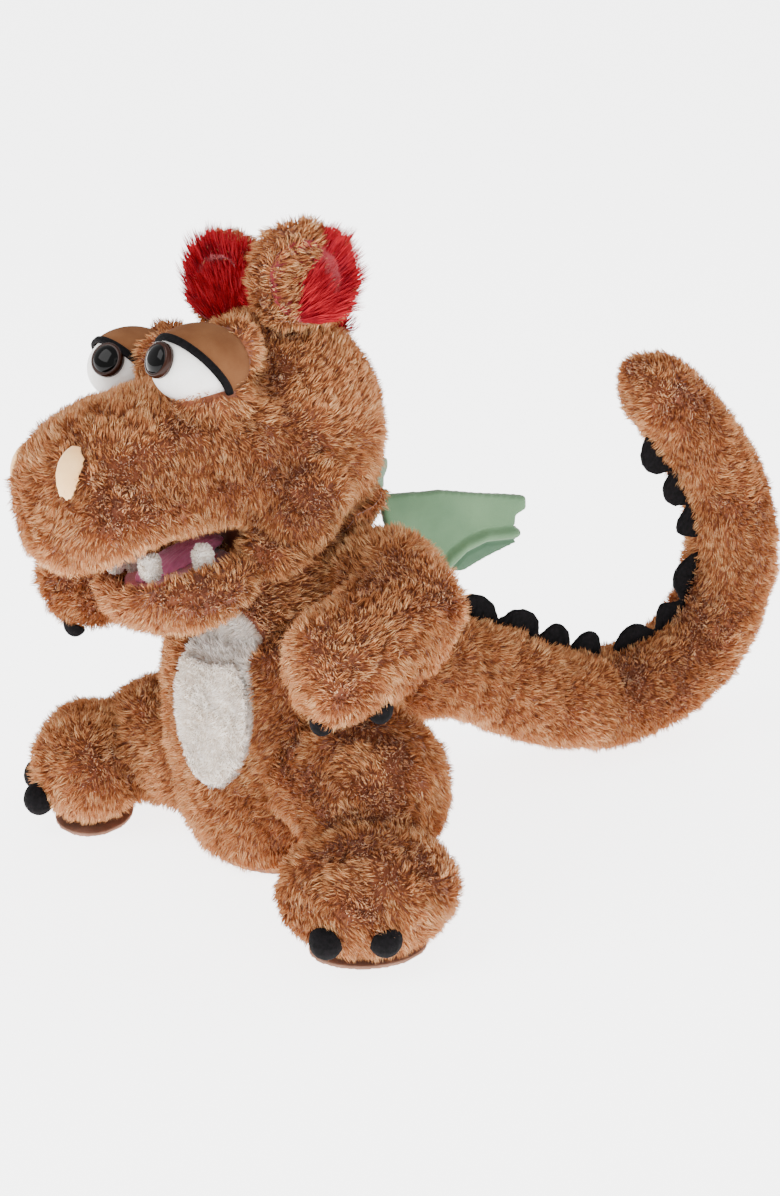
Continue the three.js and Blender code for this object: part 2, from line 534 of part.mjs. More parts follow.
// Scalloped felt strip standing on the upper, inner side of the tail.
function crest(t0, t1, bumps) {
  const edge = (t, height) => {
    const along = tailSpine.getTangentAt(t);
    const up = new THREE.Vector3(0, -along.z, along.y);
    const p = tailSpine.getPointAt(t).addScaledVector(up, stop(TAIL_R, t) + CREST.lift + height);
    return new THREE.Vector2(p.y, p.z);
  };
  const perBump = 5;
  const steps = bumps * perBump;
  const rise = CREST.height - CREST.valley;
  const foot = [];
  const top = [];
  for (let k = 0; k <= steps; k++) {
    const t = t0 + (t1 - t0) * k / steps;
    foot.push(edge(t, 0));
    top.push(edge(t, CREST.valley + rise * Math.abs(Math.sin(Math.PI * k / perBump))));
  }
  const shape = new THREE.Shape([...foot, ...top.reverse()]);
  const strip = new THREE.ExtrudeGeometry(shape, { depth: CREST.thickness, bevelEnabled: false });
  strip.translate(0, 0, -CREST.thickness / 2);
  const plane = new THREE.Matrix4().makeBasis(vec([0, 1, 0]), vec([0, 0, 1]), vec([1, 0, 0]));
  return minus(solid(strip.applyMatrix4(plane)), tailTube(0, 1, GAP, true));
}

addTorso();
addSleeve();
addNeck();
addHead();
addJaw();
addFace();
addEyes();
addEars();
addArms();
addLegs();
addWings();
addTail();

export default group;
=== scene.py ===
"""Looks of the seated plush dragon hand puppet: cloth, pile, eyes, mouth, wings and claws, on its frame."""
import json
import math

import bmesh
import bpy
import numpy as np
from mathutils import Matrix, Vector, kdtree
from mathutils.bvhtree import BVHTree


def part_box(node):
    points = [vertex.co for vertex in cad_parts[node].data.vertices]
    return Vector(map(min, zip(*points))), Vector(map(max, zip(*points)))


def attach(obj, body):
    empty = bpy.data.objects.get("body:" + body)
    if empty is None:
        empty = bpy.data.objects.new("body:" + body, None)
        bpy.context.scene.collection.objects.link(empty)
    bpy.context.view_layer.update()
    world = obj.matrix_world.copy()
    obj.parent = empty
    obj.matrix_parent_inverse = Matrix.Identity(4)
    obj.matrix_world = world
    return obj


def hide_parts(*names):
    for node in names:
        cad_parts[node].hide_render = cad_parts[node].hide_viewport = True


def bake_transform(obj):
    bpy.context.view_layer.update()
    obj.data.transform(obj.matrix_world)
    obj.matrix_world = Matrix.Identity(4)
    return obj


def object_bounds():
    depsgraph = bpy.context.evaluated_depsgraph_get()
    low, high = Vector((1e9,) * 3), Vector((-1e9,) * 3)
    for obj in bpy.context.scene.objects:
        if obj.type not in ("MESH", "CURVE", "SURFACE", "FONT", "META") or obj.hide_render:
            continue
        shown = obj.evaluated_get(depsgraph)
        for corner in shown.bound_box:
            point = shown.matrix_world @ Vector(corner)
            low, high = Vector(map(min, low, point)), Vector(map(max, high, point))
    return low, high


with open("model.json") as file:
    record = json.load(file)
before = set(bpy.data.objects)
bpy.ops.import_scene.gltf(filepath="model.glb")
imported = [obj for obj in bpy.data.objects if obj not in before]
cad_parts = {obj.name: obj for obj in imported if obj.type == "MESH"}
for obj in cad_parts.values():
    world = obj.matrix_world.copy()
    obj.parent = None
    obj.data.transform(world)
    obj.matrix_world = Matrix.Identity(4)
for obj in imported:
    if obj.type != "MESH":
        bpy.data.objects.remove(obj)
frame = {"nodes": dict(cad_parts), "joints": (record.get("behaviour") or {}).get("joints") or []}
CAD_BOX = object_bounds()
NODES = frame["nodes"]
JOINTS = {joint["name"]: joint for joint in frame["joints"]}
MM = 0.001
SIDES = {"left": 1, "right": -1}

# Pile and stuffing, in millimetres where it is a length.
PILE = 6.8            # brown fibre
LOWEST = 0.3          # how far above the floor the fibres stop
FEWEST = 20           # a pile with fewer fibres is left out
BATCH = 60000         # fibres in one piece
SIM_FRAMES = 20
PRESSURE = 4          # of the stuffing on a limb's cover
DROOP = (0, 0, -1)    # the way that hanging pile lies
SWIRLS = [(0.8, 22), (0.7, 7)]    # the pile's turns of direction: strength and size

# Studio: the floor is lit from below, as in a product photograph.
FLOOR_GLOW = 4.0
FLOOR_HALF = 20
WORLD_LIGHT = 1.15
LAMPS = [("key", (-0.5, -1.3, 1.6), 1.2, 26), ("fill", (1.6, -0.6, 0.9), 1.4, 9),
         ("back", (0.3, 1.5, 1.5), 1.2, 10)]      # name, place, size, power
LENS = 62.6
SENSOR = 36
DISTANCE = 1.3
AIM = (0.011, 0.084, 0.141)
CAMERA_TURN = 43      # degrees from the front towards the puppet's left
CAMERA_RISE = 21

# Rolls of stuffing on one side of the head, in its own millimetres: middle and radii.
CHEEKS = [(44, -8, -34, (25, 28, 26)), (44, -18, -50, (24, 26, 20)), (42, -32, -64, (20, 22, 17))]
BROWS = [(44, -60, 24, (27, 26, 18)), (42, -42, 50, (24, 16, 18)), (18, -58, 46, (13, 18, 17))]

# The eyes, in the head's own millimetres, as the CAD has them.
EYE_AT = (47.5, -65.5, 43.5)
EYE_RADII = (24, 26, 21)
LID_NORMAL = (0, 0.78, 0.62)
LID_LIFT = -2.5
LID_GROW = 2.3
LID_THICKNESS = 1.5
LASH_GROW = 1.6
LASH_STEPS = 96

# The lash band's section, forward of the lid's edge and out from the eye.
LASH_SECTION = [(-1.6, 0.3), (-1.7, 1.2), (-1.0, 1.9), (1.4, 1.9), (2.4, 1.5), (2.7, 0.7), (2.4, -0.6),
                (0, -0.8)]

# A pupil's profile, radius and height; its first steps are the brown rim.
PUPIL_PROFILE = [(9.9, -1.5), (10.1, 0.6), (9.9, 1.9), (9.2, 2.6), (8.4, 2.9), (8.0, 2.7), (7.7, 3.1),
                 (6.6, 3.9), (4.8, 4.6), (2.5, 4.95), (0.8, 5.0)]
PUPIL_RIM = 5
PUPIL_STEPS = 56

# The wing's stuffed rib, in millimetres along the wing from its root and down from its top.
RIB = [(0, 74), (36, 66), (42, 56), (48, 48), (60, 40), (74, 36), (86, 36.5), (100, 37)]
RIB_RISE, RIB_HALF = 3.2, 2.8
SEAM_DEPTH, SEAM_OFF, SEAM_HALF = 1.0, 4.6, 0.9      # a sewn line on both sides of the rib
PANEL_EDGE = 3.8                                     # the darker panel begins this far below the rib
FULLNESS, FULL_AT, FULL_HALF = 0.9, 8, 14            # of the panel above the rib, down from the wing's top
WING_RIPPLE = 0.6

# Each ear's red patch: the point that its pile is brushed away from, as a share of the lining's half size,
# the way from the lining's middle to the patch, and where along that way the patch begins, in millimetres.
EAR_ROOT = {"left": (-0.3, -0.9, -1.1), "right": (0.2, 0, -1.6)}
EAR_RED = {"left": (0.2, 1, -0.55), "right": (0, 0, -1)}
EAR_EDGE = {"left": -1, "right": -40}

# The belly patch runs on up to the throat: its middle and half sizes over X and Z, in millimetres.
BELLY = (8, 118, 27, 54)

# The throat's section, radius and height, and how far its panel reaches round each side, in radians.
THROAT = [(43, 126), (50, 128), (53, 150), (52, 175), (49, 200), (46, 216), (42, 218), (41, 200), (41, 150)]
THROAT_ROUND = 0.25
THROAT_STEPS = 44
TORSO_DEPTH = 0.93      # front-to-back size over the width

TONGUE_RIB = 2.6
TONGUE_RISE = 0.35

# The tail's knots of stuffing at its bends, and how far each bend reaches before and after its axis.
KNOT = 33
KNOTS = (1, 1, 0.93)
ROOT_BEND = (10, 45)
MIDDLE_BEND = 38
TIP_BEND = 30

# The crest's foot is drawn in by SEWN_IN where it is closer to the plush than the first distance, and by less
# and less up to the second.
SEWN_IN = 8
SEWN_NEAR, SEWN_FAR = 6, 15

# The head's own frame: -Y to the nose and +X to the puppet's left, from the axis that it nods about.
SIDEWAYS = Vector(JOINTS["head_nod"]["axis"]).normalized()
BACKWARD = Vector((0, 0, 1)).cross(SIDEWAYS).normalized()
HEAD = Matrix((SIDEWAYS, BACKWARD, SIDEWAYS.cross(BACKWARD))).transposed().to_4x4()
HEAD.translation = Vector(JOINTS["head_nod"]["pos_m"])


def in_head(x, y, z):
    """A place in the head, given in millimetres."""
    return HEAD @ Vector((x * MM, y * MM, z * MM))


def pivot(name):
    return Vector(JOINTS[name]["pos_m"])


# ---- materials ----
def principled(name, color, roughness=0.8, **inputs):
    """A plain shader; every value sits on its own socket."""
    made = bpy.data.materials.new(name)
    made.use_nodes = True
    shader = made.node_tree.nodes["Principled BSDF"]
    shader.inputs["Base Color"].default_value = (*color, 1)
    shader.inputs["Roughness"].default_value = roughness
    for key, value in inputs.items():
        shader.inputs[key.replace("_", " ")].default_value = value
    made.diffuse_color = (*color, 1)
    return made


def mottled(name, dark, light, scale, roughness=0.85, bump=0.3, bump_scale=None, **inputs):
    """Cloth: two tones mixed by noise, with a fine nap as bump."""
    made = principled(name, light, roughness, **inputs)
    tree = made.node_tree
    nodes, links = tree.nodes, tree.links
    shader = nodes["Principled BSDF"]
    place = nodes.new("ShaderNodeTexCoord")
    blotch = nodes.new("ShaderNodeTexNoise")
    blotch.inputs["Scale"].default_value = scale
    blotch.inputs["Detail"].default_value = 6
    ramp = nodes.new("ShaderNodeValToRGB")
    ramp.color_ramp.elements[0].position = 0.32
    ramp.color_ramp.elements[0].color = (*dark, 1)
    ramp.color_ramp.elements[1].position = 0.68
    ramp.color_ramp.elements[1].color = (*light, 1)
    links.new(place.outputs["Object"], blotch.inputs["Vector"])
    links.new(blotch.outputs["Fac"], ramp.inputs["Fac"])
    links.new(ramp.outputs["Color"], shader.inputs["Base Color"])
    nap = nodes.new("ShaderNodeTexNoise")
    nap.inputs["Scale"].default_value = bump_scale or scale * 8
    nap.inputs["Detail"].default_value = 4
    links.new(place.outputs["Object"], nap.inputs["Vector"])
    height = nodes.new("ShaderNodeBump")
    height.inputs["Strength"].default_value = bump
    height.inputs["Distance"].default_value = 0.0006
    links.new(nap.outputs["Fac"], height.inputs["Height"])
    links.new(height.outputs["Normal"], shader.inputs["Normal"])
    return made


CLOTH_SHEEN = dict(Sheen_Weight=0.35, Sheen_Roughness=0.5)


def make_materials():
    return {
        "backing": mottled("plush_backing", (0.13, 0.032, 0.010), (0.24, 0.066, 0.020), 60, **CLOTH_SHEEN),
        "brown": [principled("pile_root", (0.245, 0.070, 0.018), 0.85),
                  principled("pile_low", (0.335, 0.108, 0.030), 0.8),
                  principled("pile_middle", (0.430, 0.156, 0.046), 0.75),
                  principled("pile_light", (0.530, 0.232, 0.082), 0.7, Sheen_Weight=0.3, Sheen_Roughness=0.4),
                  principled("pile_pale", (0.640, 0.345, 0.145), 0.7, Sheen_Weight=0.4, Sheen_Roughness=0.4)],
        "white": [principled("white_root", (0.74, 0.63, 0.52), 0.9),
                  principled("white_low", (0.79, 0.70, 0.61), 0.9),
                  principled("white_middle", (0.83, 0.76, 0.69), 0.85),
                  principled("white_light", (0.87, 0.81, 0.75), 0.85),
                  principled("white_pale", (0.91, 0.87, 0.82), 0.85)],
        "red": [principled("red_root", (0.16, 0.003, 0.008), 0.7, Specular_IOR_Level=0.1),
                principled("red_low", (0.27, 0.006, 0.014), 0.7, Specular_IOR_Level=0.1),
                principled("red_middle", (0.34, 0.007, 0.015), 0.7, Specular_IOR_Level=0.1),
                principled("red_light", (0.41, 0.009, 0.018), 0.7, Specular_IOR_Level=0.15),
                principled("red_pale", (0.48, 0.012, 0.022), 0.7, Specular_IOR_Level=0.15)],
        "white_cloth": mottled("white_cloth", (0.78, 0.72, 0.64), (0.90, 0.86, 0.80), 90, **CLOTH_SHEEN),
        "eye_cloth": mottled("eye_cloth", (0.92, 0.89, 0.85), (0.98, 0.96, 0.93), 140, 0.8, 0.5, 2400,
                             Sheen_Weight=0.4, Sheen_Roughness=0.5),
        "red_cloth": mottled("red_cloth", (0.14, 0.004, 0.008), (0.24, 0.008, 0.014), 90, **CLOTH_SHEEN),
        "felt": mottled("black_felt", (0.002, 0.002, 0.002), (0.006, 0.005, 0.006), 420, 0.97, 0.6, 1800,
                        Specular_IOR_Level=0.1),
        "suede": mottled("tan_suede", (0.120, 0.046, 0.018), (0.170, 0.072, 0.030), 55, 0.97, 0.35, 1500,
                         Specular_IOR_Level=0.1),
        "sole": mottled("sole_suede", (0.190, 0.095, 0.060), (0.270, 0.140, 0.095), 55, 0.95, 0.35, 1500),
        "nose": mottled("cream_velour", (0.88, 0.49, 0.19), (0.95, 0.60, 0.27), 60, 0.85, 0.3, 1600,
                        Sheen_Weight=0.4, Sheen_Roughness=0.4),
        "mouth": mottled("mouth_velour", (0.38, 0.005, 0.014), (0.58, 0.010, 0.028), 70, 0.85, 0.4, 1400,
                         Sheen_Weight=0.5, Sheen_Roughness=0.4),
        "tongue": mottled("tongue_cord", (0.52, 0.120, 0.240), (0.72, 0.220, 0.380), 120, 0.85, 0.4, 1500,
                          Sheen_Weight=0.5, Sheen_Roughness=0.4),
        "wing": mottled("wing_velour", (0.062, 0.132, 0.062), (0.100, 0.190, 0.092), 26, 0.85, 0.35, 1500,
                        Sheen_Weight=0.3, Sheen_Roughness=0.4),
        "wing_dark": mottled("wing_velour_dark", (0.024, 0.070, 0.034), (0.050, 0.112, 0.058), 26, 0.85, 0.35,
                             1500, Sheen_Weight=0.25, Sheen_Roughness=0.4),
        "lining": mottled("sleeve_cloth", (0.045, 0.020, 0.011), (0.085, 0.040, 0.022), 200, 0.7, 0.3, 1600),
        "pupil": principled("pupil_plastic", (0.001, 0.001, 0.001), 0.06, Specular_IOR_Level=0.12),
        "iris": principled("iris_plastic", (0.020, 0.006, 0.003), 0.18, Specular_IOR_Level=0.15),
    }


# ---- mesh helpers ----
def new_object(name, mesh, material=None):
    made = bpy.data.objects.new(name, mesh)
    bpy.context.scene.collection.objects.link(made)
    if material:
        for entry in material if isinstance(material, list) else [material]:
            mesh.materials.append(entry)
    return made


def from_arrays(name, points, faces):
    mesh = bpy.data.meshes.new(name)
    mesh.from_pydata([tuple(p) for p in points], [], [tuple(f) for f in faces])
    mesh.update()
    return new_object(name, mesh)


def smooth_shade(piece):
    piece.data.polygons.foreach_set("use_smooth", [True] * len(piece.data.polygons))
    return piece


def mesh_of(grid, name):
    mesh = bpy.data.meshes.new(name)
    grid.to_mesh(mesh)
    grid.free()
    return mesh


def dressed(piece, *materials):
    """Gives a piece its materials, and takes away any that it had."""
    piece.data.materials.clear()
    for material in materials:
        piece.data.materials.append(MATERIAL[material])
    return piece


def joined_copy(name, nodes, extra=()):
    """The solids of some CAD nodes and of some (matrix, radii) ellipsoids in one new mesh."""
    grid = bmesh.new()
    for node in nodes:
        grid.from_mesh(NODES[node].data)
    for place, radii in extra:
        scale = Matrix.Diagonal((*[r * MM for r in radii], 1))
        bmesh.ops.create_uvsphere(grid, u_segments=32, v_segments=20, radius=1, matrix=place @ scale)
    return new_object(name, mesh_of(grid, name))


def applied(piece):
    """Applies a piece's modifiers."""
    bpy.context.view_layer.update()
    made = bpy.data.meshes.new_from_object(piece.evaluated_get(bpy.context.evaluated_depsgraph_get()))
    piece.modifiers.clear()
    old = piece.data
    piece.data = made
    bpy.data.meshes.remove(old)
    return piece


def remeshed(piece, voxel, rounds):
    remesh = piece.modifiers.new("remesh", "REMESH")
    remesh.mode = "VOXEL"
    remesh.voxel_size = voxel * MM
    if rounds:
        relax = piece.modifiers.new("smooth", "SMOOTH")
        relax.iterations = rounds
        relax.factor = 0.6
    return smooth_shade(applied(piece))


def points_of(mesh):
    flat = np.empty(len(mesh.vertices) * 3)
    mesh.vertices.foreach_get("co", flat)
    return flat.reshape(-1, 3)


def normals_of(mesh):
    flat = np.empty(len(mesh.vertices) * 3, dtype=np.float32)
    mesh.vertex_normals.foreach_get("vector", flat)
    return flat.reshape(-1, 3).astype(float)


def set_points(mesh, points):
    mesh.vertices.foreach_set("co", np.ascontiguousarray(points, dtype=np.float32).ravel())
    mesh.update()


def drawn_in(piece, depth):
    """Moves a skin inwards, so that its pile ends about where the cover's outer face is."""
    mesh = piece.data
    set_points(mesh, points_of(mesh) - normals_of(mesh) * depth * MM)
    return piece


def tree_of(piece):
    mesh = piece.data
    mesh.calc_loop_triangles()
    faces = [tuple(t.vertices) for t in mesh.loop_triangles]
    return BVHTree.FromPolygons([v.co for v in mesh.vertices], faces)


# ---- pile ----
def smooth_noise(points, scale, rng):
    """Soft random vectors: a few waves with random directions, about one bump per scale."""
    waves = 7
    total = np.zeros_like(points)
    for _ in range(waves):
        wave = rng.normal(size=3) / (scale * MM)
        phase = rng.uniform(0, 2 * math.pi)
        total += np.sin(points @ wave + phase)[:, None] * rng.normal(size=3)
    return total / math.sqrt(waves)


def unit(vectors):
    return vectors / np.maximum(np.linalg.norm(vectors, axis=1, keepdims=True), 1e-9)


def scattered(mesh, per_mm2, rng):
    """Random places on a mesh and its smooth normals there."""
    mesh.calc_loop_triangles()
    corners = np.empty(len(mesh.loop_triangles) * 3, dtype=np.int32)
    mesh.loop_triangles.foreach_get("vertices", corners)
    corners = corners.reshape(-1, 3)
    points, normals = points_of(mesh), normals_of(mesh)
    a, b, c = (points[corners[:, i]] for i in range(3))
    area = np.linalg.norm(np.cross(b - a, c - a), axis=1) / 2
    count = int(area.sum() / MM ** 2 * per_mm2)
    chosen = rng.choice(len(area), count, p=area / area.sum())
    u, v = rng.random((2, count))
    over = u + v > 1
    u[over], v[over] = 1 - u[over], 1 - v[over]
    weights = np.stack([1 - u - v, u, v], axis=1)[:, :, None]
    return (points[corners[chosen]] * weights).sum(1), unit((normals[corners[chosen]] * weights).sum(1))


def kept(places, near, inside):
    """Which places are clear of the bare trees by their distance, and not deep inside a solid skin."""
    keep = np.ones(len(places), dtype=bool)
    for i, place in enumerate(places):
        point = Vector(place)
        for tree, distance in near:
            if tree.find_nearest(point, distance * MM)[0] is not None:
                keep[i] = False
                break
        if not keep[i]:
            continue
        for tree, depth in inside:
            spot, normal, _, gap = tree.find_nearest(point)
            if gap > depth * MM and (point - spot).dot(normal) < 0:
                keep[i] = False
                break
    return keep


def clumps(places, spacing, rng):
    """The nearest of a thin random subset of the places, for each place."""
    count = max(4, int(len(places) * spacing))
    seeds = rng.choice(len(places), count, replace=False)
    tree = kdtree.KDTree(count)
    for i, seed in enumerate(seeds):
        tree.insert(places[seed], i)
    tree.balance()
    return seeds, np.array([tree.find(place)[1] for place in places])


def pile(name, skin, palette, seed, length=PILE, width=0.75, density=1.0, lean=0.5, comb=None, tuft=0.06,
         gather=0.4, curl=0.35, near=(), inside=(), where=None, fan=None):
    """Pile on a skin: tapered, bent fibres that gather in tufts, in five tones from root to tip."""
    rng = np.random.default_rng(seed)
    places, normals = scattered(skin.data, density, rng)
    if where is not None:
        chosen = where(places, normals)
        places, normals = places[chosen], normals[chosen]
    keep = kept(places, near, inside)
    places, normals = places[keep], normals[keep]
    count = len(places)
    if count < FEWEST:
        return []
    flow = np.zeros_like(places) if comb is None else comb(places)
    for strength, size in SWIRLS:
        flow = flow + strength * smooth_noise(places, size, rng)
    flow -= normals * (flow * normals).sum(1, keepdims=True)
    heading = unit(normals + lean * flow + rng.normal(scale=0.16, size=(count, 3)))
    if fan is not None:
        heading = unit(fan(places, heading) + rng.normal(scale=0.10, size=(count, 3)))
    seeds, member = clumps(places, tuft, rng)
    tone = rng.normal(size=len(seeds))[member] * 0.55 + rng.normal(size=count) * 0.6
    uneven = 1 + 0.16 * rng.normal(size=len(seeds))[member] + 0.14 * rng.normal(size=count)
    reach = length * MM * np.clip(uneven, 0.5, 1.45)
    tips = places + heading * reach[:, None]
    tips += (tips[seeds][member] - tips) * (gather * rng.uniform(0.6, 1.15, count))[:, None]
    bend = np.cross(heading, rng.normal(size=(count, 3)))
    middle = places + heading * reach[:, None] * 0.52 + bend * (curl * 0.16 * reach)[:, None]
    across = unit(np.cross(heading, rng.normal(size=(count, 3)))) * (width * MM / 2)
    across *= rng.uniform(0.7, 1.25, count)[:, None]
    narrower = across * 0.82
    blades = np.stack([places - across, places + across, middle + narrower, middle - narrower, tips], axis=1)
    blades[:, :, 2] = np.maximum(blades[:, :, 2], LOWEST * MM)
    low = np.clip(np.round(0.9 + tone * 0.7), 0, 2)
    high = np.clip(np.round(2.9 + tone * 0.9), 1, 4)
    shades = np.stack([low, high], axis=1).astype(np.int32)
    return [fibres(f"{name}_{i + 1}", blades[k:k + BATCH], shades[k:k + BATCH], palette)
            for i, k in enumerate(range(0, count, BATCH))]


def fibres(name, blades, shades, palette):
    """One mesh of fibres, each a quad and a pointed end."""
    count = len(blades)
    base = np.arange(count)[:, None] * 5
    mesh = bpy.data.meshes.new(name)
    mesh.vertices.add(count * 5)
    mesh.loops.add(count * 7)
    mesh.polygons.add(count * 2)
    mesh.vertices.foreach_set("co", blades.astype(np.float32).ravel())
    loops = np.concatenate([base + [0, 1, 2, 3], base + [3, 2, 4]], axis=1)
    mesh.loops.foreach_set("vertex_index", loops.astype(np.int32).ravel())
    mesh.polygons.foreach_set("loop_start", (np.arange(count)[:, None] * 7 + [0, 4]).astype(np.int32).ravel())
    mesh.polygons.foreach_set("loop_total", np.tile([4, 3], count).astype(np.int32))
    mesh.update(calc_edges=True)
    made = new_object(name, mesh, palette)
    mesh.polygons.foreach_set("material_index", shades.ravel())
    return smooth_shade(made)


def open_air(skin, reach=60):
    """Keeps the places with a free way out for a reach in millimetres, so none in the hand's hollows."""
    tree = tree_of(skin)

    def chosen(places, normals):
        free = np.zeros(len(places), dtype=bool)
        for i, (place, normal) in enumerate(zip(places, normals)):
            out = Vector(normal)
            side = out.orthogonal().normalized()
            start = Vector(place) + out * 1.5 * MM
            free[i] = any(tree.ray_cast(start, way, reach * MM)[0] is None
                          for way in (out, out + side * 0.8, out - side * 0.8))
        return free
    return chosen


# ---- pieces ----
def puffed(piece, cap):
    """The stuffing's push on a cover: a short cloth simulation, no point of it moving beyond the cap."""
    before = points_of(piece.data)
    cloth = piece.modifiers.new("cloth", "CLOTH")
    cloth.settings.quality = 4
    cloth.settings.tension_stiffness = 12
    cloth.settings.bending_stiffness = 1.5
    cloth.settings.use_pressure = True
    cloth.settings.uniform_pressure_force = PRESSURE
    cloth.settings.effector_weights.gravity = 0
    scene = bpy.context.scene
    for step in range(1, SIM_FRAMES + 1):
        scene.frame_set(step)
    applied(piece)
    scene.frame_set(1)
    moved = points_of(piece.data) - before
    length = np.maximum(np.linalg.norm(moved, axis=1, keepdims=True), 1e-9)
    set_points(piece.data, before + moved * np.minimum(1, cap * MM / length))
    return piece


def skin(name, nodes, extra=(), voxel=3.2, rounds=4, depth=4.0, swell=0.0, fill=0.8):
    """A stuffed cover under its pile."""
    piece = remeshed(joined_copy(name, nodes, extra), voxel, rounds)
    if swell:
        puffed(piece, swell)
    drawn_in(piece, depth)
    dressed(piece, "backing")
    smooth_shade(piece)
    return piece


def cloth_copy(name, node, material, voxel, rounds):
    """A cloth piece that keeps a CAD node's shape, with its facets smoothed."""
    piece = remeshed(joined_copy(name, [node]), voxel, rounds)
    dressed(smooth_shade(piece), material)
    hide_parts(node)
    return piece


def ball(place, radii):
    return (Matrix.Translation(place), radii)


def head_ball(x, y, z, radii):
    return (HEAD @ Matrix.Translation((x * MM, y * MM, z * MM)), radii)


def give(pieces, body):
    for piece in pieces if isinstance(pieces, list) else [pieces]:
        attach(piece, body)


def finish_pile(pieces):
    return pieces


def toward(vector, weight=0.8):
    way = np.array(Vector(vector).normalized()) * weight
    return lambda places: np.tile(way, (len(places), 1))


def node_trees(*nodes):
    return [tree_of(NODES[node]) for node in nodes]


def both(name):
    return [f"{name}_left", f"{name}_right"]


# ---- head ----
def eye_middle(side):
    return Vector((EYE_AT[0] * SIDES[side], EYE_AT[1], EYE_AT[2]))


def eye_ball(side, grow):
    grid = bmesh.new()
    bmesh.ops.create_uvsphere(grid, u_segments=72, v_segments=44, radius=1)
    middle = eye_middle(side)
    for vert in grid.verts:
        vert.co = Vector([middle[i] + vert.co[i] * (EYE_RADII[i] + grow) for i in range(3)])
    return grid


def placed(grid, name, material):
    """A mesh in the head's millimetres, taken to its place in the world."""
    for vert in grid.verts:
        vert.co = HEAD @ (vert.co * MM)
    bmesh.ops.recalc_face_normals(grid, faces=grid.faces)
    return smooth_shade(new_object(name, mesh_of(grid, name), material))


def make_eyelid(side):
    """A suede lid behind and above the slanted opening."""
    grid = eye_ball(side, LID_GROW)
    normal = Vector(LID_NORMAL).normalized()
    bmesh.ops.bisect_plane(grid, geom=grid.verts[:] + grid.edges[:] + grid.faces[:],
                           plane_co=eye_middle(side) + normal * LID_LIFT, plane_no=normal, clear_inner=True)
    lid = placed(grid, f"eyelid_suede_{side}", MATERIAL["suede"])
    thick = lid.modifiers.new("thickness", "SOLIDIFY")
    thick.thickness = LID_THICKNESS * MM
    thick.offset = -1
    applied(lid)
    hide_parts(f"eyelid_{side}")
    give(lid, "head")
    return lid


def make_lash_band(side):
    """The black felt band that edges the lid: a rounded strip along the lid's opening."""
    radii = Vector([r + LASH_GROW for r in EYE_RADII])
    normal = Vector(LID_NORMAL).normalized()
    slope = Vector([normal[i] * radii[i] for i in range(3)])
    height = LID_LIFT / slope.length
    slope.normalize()
    across = slope.orthogonal().normalized()
    other = slope.cross(across)
    reach = math.sqrt(1 - height ** 2)
    grid = bmesh.new()
    rings = []
    for k in range(LASH_STEPS):
        turn = 2 * math.pi * k / LASH_STEPS
        spot = slope * height + (across * math.cos(turn) + other * math.sin(turn)) * reach
        out = Vector([spot[i] / radii[i] for i in range(3)]).normalized()
        point = Vector([spot[i] * radii[i] for i in range(3)]) + eye_middle(side)
        ahead = (-normal + out * normal.dot(out)).normalized()
        rings.append([grid.verts.new(point + ahead * s + out * n) for s, n in LASH_SECTION])
    for k in range(LASH_STEPS):
        here, there = rings[k], rings[(k + 1) % LASH_STEPS]
        for i in range(len(LASH_SECTION)):
            j = (i + 1) % len(LASH_SECTION)
            grid.faces.new((here[i], here[j], there[j], there[i]))
    band = placed(grid, f"lash_band_{side}", MATERIAL["felt"])
    give(band, "head")
    return band


def make_pupil(side):
    """A domed plastic eye with a dark brown rim, square to the CAD pupil's own flat face."""
    points = points_of(NODES[f"pupil_{side}"].data)
    middle = points.mean(axis=0)
    _, _, axes = np.linalg.svd(points - middle)
    out = Vector(axes[2])
    if out.dot(Vector(middle) - in_head(*eye_middle(side))) < 0:
        out = -out
    turn = Vector((0, 0, 1)).rotation_difference(out).to_matrix().to_4x4()
    turn.translation = Vector(middle)
    grid = bmesh.new()
    steps = PUPIL_STEPS
    turns = [2 * math.pi * k / steps for k in range(steps)]
    rings = [[grid.verts.new((r * math.cos(a) * MM, r * math.sin(a) * MM, h * MM)) for a in turns]
             for r, h in PUPIL_PROFILE]
    for i, (low, high) in enumerate(zip(rings, rings[1:])):
        for k in range(steps):
            face = grid.faces.new((low[k], low[(k + 1) % steps], high[(k + 1) % steps], high[k]))
            face.material_index = 0 if i < PUPIL_RIM else 1
    grid.faces.new(rings[-1]).material_index = 1
    grid.faces.new(list(reversed(rings[0])))
    bmesh.ops.transform(grid, matrix=turn, verts=grid.verts)
    name = f"pupil_dome_{side}"
    dome = smooth_shade(new_object(name, mesh_of(grid, name), [MATERIAL["iris"], MATERIAL["pupil"]]))
    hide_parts(f"pupil_{side}")
    give(dome, "head")
    return dome


def make_eyes():
    bare = []
    for side in SIDES:
        white = placed(eye_ball(side, 0), f"eye_dome_{side}", MATERIAL["eye_cloth"])
        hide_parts(f"eye_white_{side}")
        give(white, "head")
        lid, band, dome = make_eyelid(side), make_lash_band(side), make_pupil(side)
        bare += [(tree_of(white), 0.8), (tree_of(lid), 0.5), (tree_of(band), 0.8), (tree_of(dome), 1.0)]
    return bare


